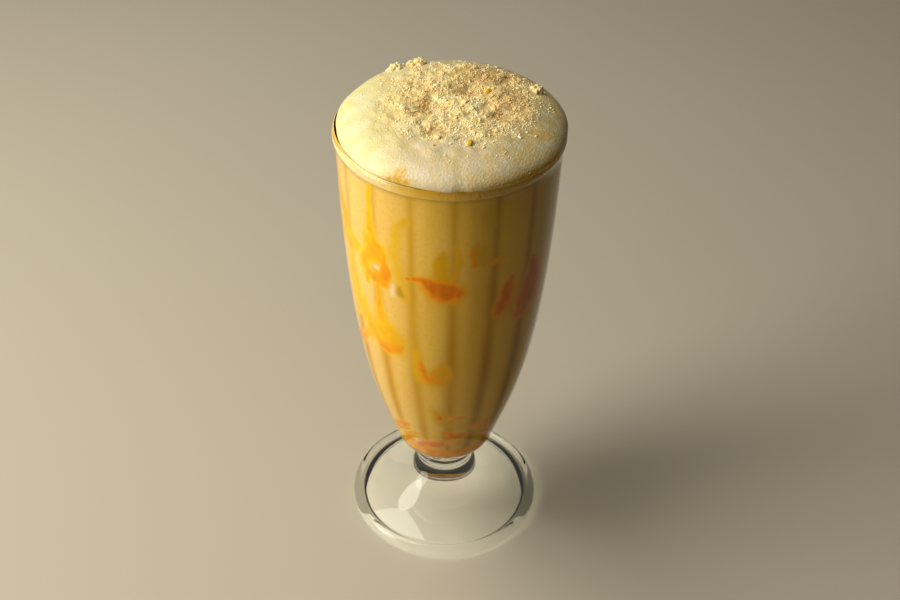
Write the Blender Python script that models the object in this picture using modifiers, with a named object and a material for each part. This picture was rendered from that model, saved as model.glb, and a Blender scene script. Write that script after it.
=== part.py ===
"""A mango milkshake in its footed soda glass: a pressed clear glass with sixteen flutes inside,
the drink that fills it, and a domed head of froth with crumbs on top. Metres, +Z up. The origin
is on the glass's axis, on the surface that the foot stands on, and -Y is the front."""

import math
import random

import bpy
from mathutils import Vector, noise
from mathutils.geometry import interpolate_bezier

MM = 0.001
GAP = 0.3 * MM  # between touching pieces
POLE_MERGE = 0.01 * MM  # closes a turned body where its line meets the axis
SIDES = 48  # facets round a turned body, three to a flute

# Glass
GLASS_H = 185.0 * MM
RIM_R = 41.0 * MM
RIM_HALF = 1.6 * MM, 1.8 * MM  # half of the rolled rim's thickness and height
RIM_MIDDLE = RIM_R - RIM_HALF[0], GLASS_H - RIM_HALF[1]
BOWL_TOP_R, BOWL_TOP_Z = 40.0 * MM, 181.0 * MM  # where the rim swells out from the bowl
BOWL_LOW_R, BOWL_LOW_Z = 19.8 * MM, 41.5 * MM  # where the side turns in to the base
BOWL_PULLS = (37.8 * MM, 84.0 * MM), (27.4 * MM, 66.5 * MM)  # the side curve's two handles
BASE_PULLS = (17.5 * MM, 34.5 * MM), (12.0 * MM, 34.4 * MM)
WALL = 2.3 * MM  # at the middle of a flute
WELL_Z = 37.2 * MM  # lowest point of the bowl's inside
WELL_FLAT_R = 7.0 * MM
WELL_TURN = 2.4 * MM  # how far in the handle lies where the side turns in to the well
FLUTES = 16
FLUTE_DEPTH = 1.1 * MM  # how far a rib stands in from the flutes beside it
FLUTE_FADE = 6.0 * MM  # the ribs run out over this height under the rim
RIB_ANGLE = math.radians(1.3)  # a rib's turn from the front
NECK_R, NECK_Z = 11.4 * MM, 28.2 * MM
NECK_HALF = 3.2 * MM  # half of the neck's straight height
NECK_RING = 0.6 * MM, 1.2 * MM  # how far the ring round the neck stands out, and half its height
FOOT_R = 38.6 * MM
FOOT_PULLS = (12.8 * MM, 19.0 * MM), (24.0 * MM, 9.5 * MM)
FOOT_EDGE = 2.6 * MM, 3.1 * MM  # half of the foot's rolled edge, out and up
FOOT_EDGE_Z = 3.3 * MM
FOOT_SHOULDER = 34.2 * MM, 5.4 * MM  # the groove between the foot's slope and its rolled edge
STAND_INSET = 0.4 * MM  # from the rolled edge to the ring that it stands on
HOLLOW_R, HOLLOW_H = 34.4 * MM, 13.5 * MM  # the hollow under the foot
HOLLOW_PULLS = (32.2 * MM, 5.5 * MM), (16.0 * MM, 12.5 * MM)

# Drink and froth
DRINK_TOP_Z = 180.4 * MM
FROTH_R = 40.2 * MM  # mean reach over the rim
LEAN = 1.0 * MM  # how much further it reaches on the side where it laps over the rim
LAP_ANGLE = math.radians(60.0)  # that side, from the front towards +X
LAP_START, LAP_END = math.radians(100.0), math.radians(35.0)  # its underside's end on the rim
WAVES = (0.20 * MM, 7, 1.0), (0.12 * MM, 11, 2.3)  # its edge's height, number and phase
FROTH_BELLY_Z = 185.8 * MM  # height of its widest line
LAP_DROP = 1.0 * MM  # how far that line sinks where the froth laps over
FROTH_H = 7.7 * MM  # of the dome above it
DOME_POWER = 3.0  # fuller at the shoulder than a ball
TILT = 0.9 * MM  # how much the dome's back stands above its middle
PLATEAU_R = 29.0 * MM  # the lumpy middle of the dome
LUMP, LUMP_SIZE = 0.8 * MM, 9.0 * MM
RELIEF_END_R = 38.0 * MM  # the dome is smooth from here out
HOLLOWS = (  # place, half width and depth of the dips in the dome
    ((-8.5 * MM, -5.3 * MM), 5.0 * MM, 1.7 * MM),
    ((6.8 * MM, 12.5 * MM), 6.0 * MM, 1.6 * MM),
    ((17.0 * MM, -6.0 * MM), 5.5 * MM, 1.5 * MM),
    ((-4.2 * MM, -16.9 * MM), 4.5 * MM, 1.1 * MM),
)

# Crumbs
CRUMBS = 60
CRUMB_R = 1.2 * MM
CRUMB_SHIFT = 1.2 * MM  # a crumb lies at most so far off its even spacing, both ways
PATCH = (2.5 * MM, 0.5 * MM), (24.0 * MM, 25.5 * MM)  # centre and half widths of the strewn area
CLUMPS = (  # place, number and size of the crumbs that lie together at the patch's edge
    ((-20.0 * MM, 28.5 * MM), 5, 1.7 * MM),
    ((-12.3 * MM, 31.5 * MM), 8, 1.8 * MM),
    ((31.0 * MM, 14.5 * MM), 5, 1.3 * MM),
)


def curve(start, pull_a, pull_b, end, count):
    """count points of a cubic curve through (radius, height) pairs, without its start."""
    ends = [Vector((r, 0.0, z)) for r, z in (start, pull_a, pull_b, end)]
    return [(p.x, p.z) for p in interpolate_bezier(*ends, count + 1)[1:]]


def arc(centre, half, start, stop, count):
    """count + 1 points of an elliptical arc between two angles in degrees."""
    points = []
    for i in range(count + 1):
        a = math.radians(start + (stop - start) * i / count)
        points.append((centre[0] + half[0] * math.cos(a), centre[1] + half[1] * math.sin(a)))
    return points


def ease(x):
    x = min(max(x, 0.0), 1.0)
    return x * x * (3.0 - 2.0 * x)


def angle_of(point):
    """A point's turn about the axis, from the front towards +X."""
    return math.atan2(point.x, -point.y)


def turned(name, profile, collection, fluted=0):
    """A body of revolution from an open line that starts and ends on the axis. The line's first
    fluted points are marked, for press_flutes."""
    mesh = bpy.data.meshes.new(name)
    mesh.from_pydata([(r, 0.0, z) for r, z in profile], [(i, i + 1) for i in range(len(profile) - 1)], [])
    body = bpy.data.objects.new(name, mesh)
    collection.objects.link(body)
    body.vertex_groups.new(name="fluted").add(list(range(fluted)), 1.0, "REPLACE")
    body.rotation_euler.z = RIB_ANGLE
    screw = body.modifiers.new("Turn", "SCREW")
    screw.steps = screw.render_steps = SIDES
    screw.use_merge_vertices = True
    screw.merge_threshold = POLE_MERGE
    screw.use_smooth_shade = True
    return settled(body)


def settled(body):
    """Gives the body its evaluated mesh, in world space, and takes its modifiers off."""
    bpy.context.view_layer.update()
    graph = bpy.context.evaluated_depsgraph_get()
    shaped = body.evaluated_get(graph)
    mesh = bpy.data.meshes.new_from_object(shaped, preserve_all_data_layers=True, depsgraph=graph)
    mesh.transform(body.matrix_world)
    body.modifiers.clear()
    body.rotation_euler.z = 0.0
    body.data = mesh
    return body


def press_flutes(body):
    """Pulls the marked points in towards the axis along the ribs, most at the rib itself."""
    for vertex in body.data.vertices:
        if not vertex.groups:
            continue
        across = Vector((vertex.co.x, vertex.co.y, 0.0))
        radius = across.length
        if radius < POLE_MERGE:
            continue
        flute = abs(math.sin(0.5 * FLUTES * (angle_of(vertex.co) - RIB_ANGLE)))
        height = ease((DRINK_TOP_Z - vertex.co.z) / FLUTE_FADE) * ease(2.0 * radius / BOWL_TOP_R)
        vertex.co -= across / radius * FLUTE_DEPTH * height * (1.0 - flute)


def finish(body, name, colour, roughness, transmission=0.0):
    """The piece's material, and smooth shading but for its sharp edges."""
    made = bpy.data.materials.new(name)
    made.use_nodes = True
    shader = made.node_tree.nodes["Principled BSDF"]
    shader.inputs["Base Color"].default_value = (*colour, 1.0)
    shader.inputs["Roughness"].default_value = roughness
    shader.inputs["Metallic"].default_value = 0.0
    shader.inputs["Transmission Weight"].default_value = transmission
    body.data.materials.clear()
    body.data.materials.append(made)
    body.data.shade_smooth()
    body.data.set_sharp_from_angle(angle=math.radians(50.0))


def bowl_side(count):
    """The bowl's outer line, from under the rim down to where it turns in."""
    top, low = (BOWL_TOP_R, BOWL_TOP_Z), (BOWL_LOW_R, BOWL_LOW_Z)
    return [top] + curve(top, *BOWL_PULLS, low, count)


def bowl_radius(z):
    """The bowl's outer radius at one height, read off its side."""
    side = bowl_side(90)
    for (upper_r, upper_z), (lower_r, lower_z) in zip(side, side[1:]):
        if z >= lower_z:
            return lower_r + (upper_r - lower_r) * (z - lower_z) / (upper_z - lower_z)
    return BOWL_LOW_R


def inside_line(top_z, inset):
    """The line of the bowl's inside, moved in by inset, from top_z down to the well."""
    heights = [top_z, DRINK_TOP_Z - 0.5 * FLUTE_FADE, DRINK_TOP_Z - FLUTE_FADE]
    heights += [z for _, z in bowl_side(9)[1:-1]]
    side = [(bowl_radius(z) - WALL - inset, z) for z in heights]
    floor = WELL_Z + inset
    pulls = (side[-1][0] - WELL_TURN, floor), (WELL_FLAT_R, floor)
    return side + curve(side[-1], *pulls, (0.0, floor), 4)


def make_glass(collection):
    """The foot with its hollow, the neck, the bowl and its rolled rim, pressed in one piece."""
    inside = inside_line(BOWL_TOP_Z, 0.0)[::-1]
    rim = arc(RIM_MIDDLE, RIM_HALF, 180.0, -40.0, 7)
    neck_top, neck_low = (NECK_R, NECK_Z + NECK_HALF), (NECK_R, NECK_Z - NECK_HALF)
    base = curve((BOWL_LOW_R, BOWL_LOW_Z), *BASE_PULLS, neck_top, 5)
    ring = arc((NECK_R, NECK_Z), NECK_RING, 90.0, -90.0, 4)
    foot = curve(neck_low, *FOOT_PULLS, FOOT_SHOULDER, 6)
    edge = arc((FOOT_R - FOOT_EDGE[0], FOOT_EDGE_Z), FOOT_EDGE, 100.0, -60.0, 6)
    hollow = curve((HOLLOW_R, 0.0), *HOLLOW_PULLS, (0.0, HOLLOW_H), 5)
    outside = bowl_side(9) + base + ring + [neck_low] + foot + edge
    stand = [(edge[-1][0] - STAND_INSET, 0.0), (HOLLOW_R, 0.0)]
    glass = turned("glass", inside + rim + outside + stand + hollow, collection, len(inside))
    press_flutes(glass)
    finish(glass, "clear glass", (0.95, 0.96, 0.95), 0.03, 1.0)


def make_drink(collection):
    """The drink, up to where the froth starts, with the flutes' form on its side."""
    line = inside_line(DRINK_TOP_Z, GAP)
    drink = turned("milkshake", [(0.0, DRINK_TOP_Z)] + line, collection, len(line) + 1)
    press_flutes(drink)
    finish(drink, "mango milkshake", (0.90, 0.60, 0.17), 0.35)


def lap(angle):
    """How much the froth laps over the rim in one direction, from 0 to 1."""
    return 0.5 + 0.5 * math.cos(angle - LAP_ANGLE)


def edge_radius(angle):
    """How far the froth reaches out over the rim in one direction."""
    wave = sum(height * math.sin(count * angle + phase) for height, count, phase in WAVES)
    return FROTH_R + LEAN * math.cos(angle - LAP_ANGLE) + wave


def relief(x, y):
    """The lumps and hollows of the dome's middle, as a height."""
    place = Vector((x, y, 0.0)) / LUMP_SIZE
    height = LUMP * noise.noise(place) + 0.5 * LUMP * noise.noise(place * 2.3 + Vector((5.0, 0.0, 0.0)))
    for (cx, cy), size, depth in HOLLOWS:
        height -= depth * math.exp(-((x - cx) ** 2 + (y - cy) ** 2) / size**2)
    return height * ease((RELIEF_END_R - math.hypot(x, y)) / (RELIEF_END_R - PLATEAU_R))


def rise(share):
    """The dome's rise at a share of its reach, from 1 on the axis to 0 at its widest line."""
    return math.sqrt(1.0 - min(share, 1.0) ** DOME_POWER)


def on_dome(share, angle):
    """The point of the dome at a share of its reach in one direction."""
    radius = share * edge_radius(angle)
    x, y = radius * math.sin(angle), -radius * math.cos(angle)
    z = FROTH_BELLY_Z + rise(share) * (FROTH_H + TILT * y / FROTH_R)
    return Vector((x, y, z - LAP_DROP * lap(angle) * (1.0 - rise(share)) + relief(x, y)))


def surface_z(x, y):
    angle = math.atan2(x, -y)
    return on_dome(math.hypot(x, y) / edge_radius(angle), angle).z


def on_rim(turn):
    """The radius and height of the froth's underside at a turn about the middle of the rim."""
    across, up = RIM_HALF[0] + GAP, RIM_HALF[1] + GAP
    return RIM_MIDDLE[0] + across * math.cos(turn), RIM_MIDDLE[1] + up * math.sin(turn)


def froth_line():
    """The froth's line: over the dome, in along the rim and down to the drink."""
    shares = [PLATEAU_R / FROTH_R * i / 9 for i in range(10)]
    start = math.acos(shares[-1] ** (0.5 * DOME_POWER))
    shares += [math.cos(start * (1.0 - i / 7)) ** (2.0 / DOME_POWER) for i in range(1, 8)]
    dome = [(FROTH_R * share, FROTH_BELLY_Z + FROTH_H * rise(share)) for share in shares]
    under = [on_rim(LAP_START + (math.pi - LAP_START) * i / 4) for i in range(5)]
    plug_r, plug_z = BOWL_TOP_R - WALL - GAP, DRINK_TOP_Z + GAP
    return dome + under + [(plug_r, plug_z), (0.0, plug_z)]


def lean(froth):
    """Shapes the turned dome to its lean and relief, and slides its underside along the rim."""
    for vertex in froth.data.vertices:
        angle, radius = angle_of(vertex.co), math.hypot(vertex.co.x, vertex.co.y)
        if vertex.co.z > FROTH_BELLY_Z - POLE_MERGE:
            vertex.co = on_dome(radius / FROTH_R, angle)
        elif vertex.co.z > RIM_MIDDLE[1] + POLE_MERGE:
            across = (radius - RIM_MIDDLE[0]) / (RIM_HALF[0] + GAP)
            share = (math.pi - math.acos(across)) / (math.pi - LAP_START)
            end = LAP_START + (LAP_END - LAP_START) * lap(angle)
            radius, height = on_rim(math.pi - (math.pi - end) * share)
            vertex.co = radius * math.sin(angle), -radius * math.cos(angle), height


def make_crumb(place, radius, draw, collection):
    """One angular crumb, sunk by a third of its height."""
    bpy.ops.mesh.primitive_ico_sphere_add(subdivisions=1, radius=radius)
    crumb = bpy.context.active_object
    for other in crumb.users_collection:
        other.objects.unlink(crumb)
    collection.objects.link(crumb)
    stretch = Vector([draw.uniform(0.75, 1.3) for _ in range(3)])
    turn = Vector([draw.uniform(-1.0, 1.0) for _ in range(3)]).to_track_quat("Z", "Y")
    for vertex in crumb.data.vertices:
        vertex.co = turn @ (vertex.co * stretch) * draw.uniform(0.85, 1.15)
        vertex.co += Vector((*place, surface_z(*place) + 0.25 * radius))


def strew(collection):
    """Crumbs over the patch on a spiral of even spacing, then the clumps at its edge."""
    draw = random.Random(11)
    golden = math.pi * (3.0 - math.sqrt(5.0))
    (cx, cy), (half_x, half_y) = PATCH
    for i in range(CRUMBS):
        reach = math.sqrt((i + 0.5) / CRUMBS)
        x = cx + half_x * reach * math.cos(golden * i) + draw.uniform(-CRUMB_SHIFT, CRUMB_SHIFT)
        y = cy + half_y * reach * math.sin(golden * i) + draw.uniform(-CRUMB_SHIFT, CRUMB_SHIFT)
        make_crumb((x, y), CRUMB_R * draw.uniform(0.7, 1.35), draw, collection)
    for (cx, cy), count, radius in CLUMPS:
        for i in range(count):
            x = cx + radius * 0.8 * math.sqrt(i) * math.cos(golden * i)
            y = cy + radius * 0.8 * math.sqrt(i) * math.sin(golden * i)
            make_crumb((x, y), radius * draw.uniform(0.75, 1.15), draw, collection)


def make_froth(collection):
    """The head of froth, with the larger crumbs fused to it."""
    froth = turned("froth", froth_line(), collection)
    lean(froth)
    crumbs = bpy.data.collections.new("crumbs")
    bpy.context.scene.collection.children.link(crumbs)
    strew(crumbs)
    join = froth.modifiers.new("Crumbs", "BOOLEAN")
    join.operation = "UNION"
    join.solver = "EXACT"
    join.operand_type = "COLLECTION"
    join.collection = crumbs
    settled(froth)
    for crumb in list(crumbs.objects):
        bpy.data.objects.remove(crumb)
    bpy.data.collections.remove(crumbs)
    finish(froth, "milk froth", (0.93, 0.84, 0.58), 0.5)


def build():
    for old in list(bpy.data.objects):
        bpy.data.objects.remove(old)
    parts = bpy.data.collections.new("mango_milkshake")
    bpy.context.scene.collection.children.link(parts)
    make_glass(parts)
    make_drink(parts)
    make_froth(parts)


build()
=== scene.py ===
"""A mango milkshake in its footed soda glass: the pressed glass, the drink with its streaks of
mango puree against the wall, and the head of froth with biscuit crumbs and bubbles on top."""

import math
import random

import bpy
import numpy as np
from mathutils import Euler, Matrix, Vector, noise


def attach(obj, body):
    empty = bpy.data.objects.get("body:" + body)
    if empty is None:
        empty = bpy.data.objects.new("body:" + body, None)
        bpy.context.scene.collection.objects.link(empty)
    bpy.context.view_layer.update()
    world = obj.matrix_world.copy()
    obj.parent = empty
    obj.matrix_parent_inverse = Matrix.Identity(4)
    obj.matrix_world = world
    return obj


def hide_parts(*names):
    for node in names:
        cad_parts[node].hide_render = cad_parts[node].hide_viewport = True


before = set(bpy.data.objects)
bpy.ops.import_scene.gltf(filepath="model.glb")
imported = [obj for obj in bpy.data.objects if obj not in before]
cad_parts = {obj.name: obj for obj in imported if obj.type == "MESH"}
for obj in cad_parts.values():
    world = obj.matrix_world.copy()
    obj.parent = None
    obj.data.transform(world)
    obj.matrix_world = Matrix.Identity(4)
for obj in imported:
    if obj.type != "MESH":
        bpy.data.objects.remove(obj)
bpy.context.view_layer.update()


# The glass: clear soda-lime glass, pressed in one piece in a mould with a fluted plunger and then
# polished by flame. It is smooth outside and has sixteen soft ribs inside the bowl; the rim is a
# rolled bead, and the foot is a hollow dome with a thick rolled edge.

MM = 0.001
RIM_R, RIM_Z = 39.4 * MM, 183.2 * MM  # the middle of the rolled rim
RIM_HALF = 1.58 * MM, 1.8 * MM  # half of its thickness and height
BOWL_TOP = 40.0 * MM, 181.0 * MM  # the outside of the bowl, as radius and height,
BOWL_LOW = 19.8 * MM, 41.5 * MM  # where it starts and where its base begins,
BOWL_PULLS = (37.8 * MM, 84.0 * MM), (27.4 * MM, 66.5 * MM)  # and what bends it in between
BOWL_BASE_Z = 34.0 * MM  # the lowest of the bowl, over the neck
WALL = 2.3 * MM  # between two ribs
WELL_Z = 37.2 * MM  # the bottom of the bowl's inside
WELL_FLAT_R, WELL_TURN = 7.0 * MM, 2.4 * MM  # how far it is flat, and how fast it turns up
FLUTES = 16
FLUTE_DEPTH = 0.8 * MM
FLUTE_FADE = 6.0 * MM  # the height over which the ribs set in under the rim
RIB_ANGLE = math.radians(1.3)  # from the front to the first rib
RIB_ROUND = 0.07  # how blunt a rib's crest is
DRINK_TOP_Z = 180.4 * MM
BASE_PULLS = (17.5 * MM, 34.5 * MM), (12.0 * MM, 34.4 * MM)  # what bends the bowl's base
NECK_R, NECK_Z, NECK_HALF = 11.4 * MM, 28.2 * MM, 3.2 * MM  # its radius, middle and half height
NECK_RING = 0.6 * MM, 1.2 * MM  # how far the ring on it stands out, and half its height
FOOT_PULLS = (12.8 * MM, 19.0 * MM), (24.0 * MM, 9.5 * MM)  # what bends the foot's dome,
FOOT_END = 34.2 * MM, 5.4 * MM  # and where it meets the rolled edge
FOOT_EDGE = 36.0 * MM, 3.3 * MM  # the middle of that edge
FOOT_EDGE_HALF = 2.58 * MM, 3.1 * MM
STAND_OUT, STAND_IN = 36.9 * MM, 34.4 * MM  # the flat ring that it stands on
HOLLOW_PULLS = (32.2 * MM, 5.5 * MM), (16.0 * MM, 12.5 * MM)  # what bends the hollow under the foot
HOLLOW_TOP_Z = 13.5 * MM
HAIR = 0.01 * MM  # what two equal measures may differ by


def curve(start, pull_a, pull_b, end, count):
    """count points of a cubic curve through (radius, height) pairs, without its start."""
    points = []
    for i in range(1, count + 1):
        t = i / count
        shares = (1 - t) ** 3, 3 * t * (1 - t) ** 2, 3 * t**2 * (1 - t), t**3
        knots = start, pull_a, pull_b, end
        points.append(tuple(sum(s * k[axis] for s, k in zip(shares, knots)) for axis in (0, 1)))
    return points


def arc(centre, half, start, stop, count):
    """count + 1 points of an elliptical arc between two angles in degrees."""
    angles = [math.radians(start + (stop - start) * i / count) for i in range(count + 1)]
    return [(centre[0] + half[0] * math.cos(a), centre[1] + half[1] * math.sin(a)) for a in angles]


def ease(x):
    """0 up to 0, 1 from 1 on, and a soft slope in between."""
    x = np.clip(x, 0.0, 1.0)
    return x * x * (3.0 - 2.0 * x)


def places(piece):
    """The piece's points as an array, one row each."""
    flat = np.empty(3 * len(piece.data.vertices))
    piece.data.vertices.foreach_get("co", flat)
    return flat.reshape(-1, 3)


def put(piece, points):
    """Moves the piece's points to these places."""
    piece.data.vertices.foreach_set("co", np.asarray(points, dtype=np.float32).ravel())
    piece.data.update()


def paint(piece, name, values):
    """Keeps one number for each point of the piece, for its material to read."""
    layer = piece.data.attributes.new(name, "FLOAT", "POINT")
    layer.data.foreach_set("value", np.asarray(values, dtype=np.float32))


def turned(name, line, sides):
    """A round body: its outline is drawn as a curve, made a mesh and turned about the axis."""
    bpy.ops.object.select_all(action="DESELECT")
    bpy.ops.curve.primitive_nurbs_path_add()
    piece = bpy.context.active_object
    piece.data.splines.clear()
    outline = piece.data.splines.new("POLY")
    outline.points.add(len(line) - 1)
    for point, (r, z) in zip(outline.points, line):
        point.co = (r, 0.0, z, 1.0)
    bpy.ops.object.convert(target="MESH")
    piece = bpy.context.active_object
    piece.name = piece.data.name = name
    lathe = piece.modifiers.new("lathe", "SCREW")
    lathe.steps = lathe.render_steps = sides
    lathe.use_merge_vertices, lathe.merge_threshold = True, 0.2 * HAIR
    bpy.ops.object.modifier_apply(modifier=lathe.name)
    bpy.ops.object.mode_set(mode="EDIT")
    bpy.ops.mesh.select_all(action="SELECT")
    bpy.ops.mesh.remove_doubles(threshold=0.2 * HAIR)
    bpy.ops.mesh.normals_make_consistent(inside=False)
    bpy.ops.object.mode_set(mode="OBJECT")
    piece.data.shade_smooth()
    return piece


def bowl_radius(z):
    """The bowl's outer radius at heights z."""
    side = np.array([BOWL_TOP] + curve(BOWL_TOP, *BOWL_PULLS, BOWL_LOW, 90))[::-1]
    return np.interp(z, side[:, 1], side[:, 0])


def inside_line(top_z, inset, count):
    """The line of the bowl's inside, moved in by inset, from top_z down to the well."""
    heights = [top_z] + [z for _, z in curve(BOWL_TOP, *BOWL_PULLS, BOWL_LOW, count) if z < top_z]
    side = [(float(bowl_radius(z)) - WALL - inset, z) for z in heights[:-1]]
    floor = WELL_Z + inset
    pulls = (side[-1][0] - WELL_TURN, floor), (WELL_FLAT_R, floor)
    return side + curve(side[-1], *pulls, (0.0, floor), count // 8)


def press_flutes(points, depth):
    """Moves points of the bowl's inside in towards the axis, most along the ribs."""
    x, y, z = points.T
    radius = np.maximum(np.hypot(x, y), 1e-9)
    wave = np.sin(0.5 * FLUTES * (np.arctan2(x, -y) - RIB_ANGLE))
    crest = 1.0 - np.sqrt(wave**2 + RIB_ROUND**2)
    fade = ease((DRINK_TOP_Z - z) / FLUTE_FADE) * ease(2.0 * radius / BOWL_TOP[0])
    moved = radius - depth * fade * np.maximum(crest, 0.0)
    return np.column_stack([x * moved / radius, y * moved / radius, z])


inside = inside_line(BOWL_TOP[1], 0.0, 108)[::-1]
rim = arc((RIM_R, RIM_Z), RIM_HALF, 180.0, -40.0, 26)
side = [BOWL_TOP] + curve(BOWL_TOP, *BOWL_PULLS, BOWL_LOW, 70)
neck_top, neck_low = (NECK_R, NECK_Z + NECK_HALF), (NECK_R, NECK_Z - NECK_HALF)
base = curve(BOWL_LOW, *BASE_PULLS, neck_top, 26)
ring = arc((NECK_R, NECK_Z), NECK_RING, 90.0, -90.0, 14)
foot = curve(neck_low, *FOOT_PULLS, FOOT_END, 40)
edge = arc(FOOT_EDGE, FOOT_EDGE_HALF, 100.0, -60.0, 26)
stand = [(STAND_OUT, 0.0), (STAND_IN, 0.0)]
hollow = curve(stand[-1], *HOLLOW_PULLS, (0.0, HOLLOW_TOP_Z), 40)
outline = inside + rim + side + base + ring + [neck_low] + foot + edge + stand + hollow
glass = turned("pressed_glass", outline, 256)
points = places(glass)
within = (points[:, 2] > WELL_Z - HAIR) & (points[:, 2] < BOWL_TOP[1] + HAIR)
within &= np.hypot(points[:, 0], points[:, 1]) < bowl_radius(points[:, 2]) - 0.5 * WALL
points[within] = press_flutes(points[within], FLUTE_DEPTH)
put(glass, points)


class Level:
    """A number that varies over a surface. A sum with it adds a Math node to the finish."""

    def __init__(self, finish, socket):
        self.finish, self.socket = finish, socket

    def sum(self, operation, *terms, clamp=False):
        values = dict(enumerate(terms))
        return self.finish.add("Math", values, operation=operation, use_clamp=clamp)

    def __add__(self, other):
        return self.sum("ADD", self, other)

    def __sub__(self, other):
        return self.sum("SUBTRACT", self, other)

    def __rsub__(self, other):
        return self.sum("SUBTRACT", other, self)

    def __mul__(self, other):
        return self.sum("MULTIPLY", self, other)

    def __truediv__(self, other):
        return self.sum("DIVIDE", self, other)

    __radd__, __rmul__ = __add__, __mul__

    def between(self, low, high):
        """0 below low, 1 above high, and an even slope in between."""
        return self.sum("MULTIPLY", self - low, 1.0 / (high - low), clamp=True)


class Finish:
    """One material, with its nodes."""

    def __init__(self, name, **uniform):
        self.material = bpy.data.materials.new(name)
        self.material.use_nodes = True
        self.tree = self.material.node_tree
        self.shader = self.tree.nodes["Principled BSDF"]
        for socket, value in uniform.items():
            self.shader.inputs[socket.replace("_", " ")].default_value = value

    def add(self, kind, values=None, output=0, stops=None, **settings):
        """Adds a node with its settings, then the values or links of its sockets."""
        node = self.tree.nodes.new("ShaderNode" + kind)
        for setting, value in settings.items():
            setattr(node, setting, value)
        for stop, (at, colour) in enumerate(stops or ()):
            if stop > 1:
                node.color_ramp.elements.new(at)
            node.color_ramp.elements[stop].position = at
            node.color_ramp.elements[stop].color = (*colour, 1.0)
        for socket, value in (values or {}).items():
            if isinstance(value, Level):
                self.tree.links.new(value.socket, node.inputs[socket])
            else:
                node.inputs[socket].default_value = value
        return Level(self, node.outputs[output])

    def place(self):
        return self.add("TexCoord", output="Object")

    def layer(self, name):
        """The number that paint() kept under this name."""
        return self.add("Attribute", output="Fac", attribute_name=name)

    def grain(self, size, detail=2.0, stretch=(1.0, 1.0, 1.0)):
        """Soft noise from 0 to 1 with lumps of about this size in metres."""
        scaled = self.add("Mapping", {"Vector": self.place(), "Scale": stretch})
        return self.add("TexNoise", {"Vector": scaled, "Scale": 1.0 / size, "Detail": detail})

    def mix(self, share, first, second):
        """A blend of two colours."""
        values = {0: share, 6: colour(first), 7: colour(second)}
        return self.add("Mix", values, output=2, data_type="RGBA")

    def bump(self, height, depth, normal=None):
        """Turns a height from 0 to 1 into relief of this depth in metres."""
        values = {"Height": height, "Distance": depth, "Strength": 1.0}
        if normal:
            values["Normal"] = normal
        return self.add("Bump", values)

    def feed(self, **links):
        for socket, level in links.items():
            self.tree.links.new(level.socket, self.shader.inputs[socket.replace("_", " ")])

    def wear(self, piece):
        """Gives the piece this finish."""
        piece.data.materials.clear()
        piece.data.materials.append(self.material)


def colour(tint):
    """A colour from its three bytes as seen on screen, or a link as it is."""
    if isinstance(tint, Level):
        return tint
    linear = [((c / 255.0 + 0.055) / 1.055) ** 2.4 if c > 10 else c / 3294.6 for c in tint]
    return (*linear, 1.0)


def clear_glass(name, sheen):
    """Clear glass that mirrors this share of what glass does, and lets the lamps' light through."""
    clear = Finish(name, Transmission_Weight=1.0, IOR=1.45, Specular_Tint=(sheen, sheen, sheen, 1.0))
    ripple = clear.grain(14.0 * MM, 1.0, (1.0, 1.0, 0.4))
    clear.feed(
        Base_Color=clear.mix(ripple, (248, 252, 250), (255, 255, 255)),
        Roughness=clear.grain(5.0 * MM) * 0.02 + 0.005,
        Normal=clear.bump(ripple, 0.12 * MM),
    )
    lets_light_in = clear.add("BsdfTransparent", {"Color": (0.88, 0.89, 0.88, 1.0)})
    shadow_ray = clear.add("LightPath", output="Is Shadow Ray")
    skin = clear.tree.nodes.new("ShaderNodeMixShader")
    clear.tree.links.new(shadow_ray.socket, skin.inputs[0])
    clear.tree.links.new(clear.shader.outputs[0], skin.inputs[1])
    clear.tree.links.new(lets_light_in.socket, skin.inputs[2])
    clear.tree.links.new(skin.outputs[0], clear.tree.nodes["Material Output"].inputs["Surface"])
    return clear


# The bowl mirrors less than the rim and the foot do, because the drink lies against its wall.
BOWL_SHEEN = 0.35
clear_glass("clear pressed glass", 1.0).wear(glass)
glass.data.materials.append(clear_glass("clear glass against the drink", BOWL_SHEEN).material)
for face in glass.data.polygons:
    face.material_index = int(BOWL_BASE_Z < face.center.z < BOWL_TOP[1])
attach(glass, "root")
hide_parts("glass")


# The milkshake: a thick blended drink of mango and milk that fills the bowl and lies on the glass,
# so it has the flutes' form. Puree was run down the glass before the drink was poured, and it lies
# against the wall in blots and trails, golden where thin and deep orange where thick.

INTO_WALL = 0.12 * MM  # how far the drink reaches into the glass, so that no air shows between
GROOVES = 0.2 * MM  # how deep the ribs press into the drink
top_line = [(0.0, DRINK_TOP_Z), (20.0 * MM, DRINK_TOP_Z)]
drink = turned("mango_milkshake", top_line + inside_line(DRINK_TOP_Z, -INTO_WALL, 225), 384)
points = press_flutes(places(drink), GROOVES)
put(drink, points)

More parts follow.
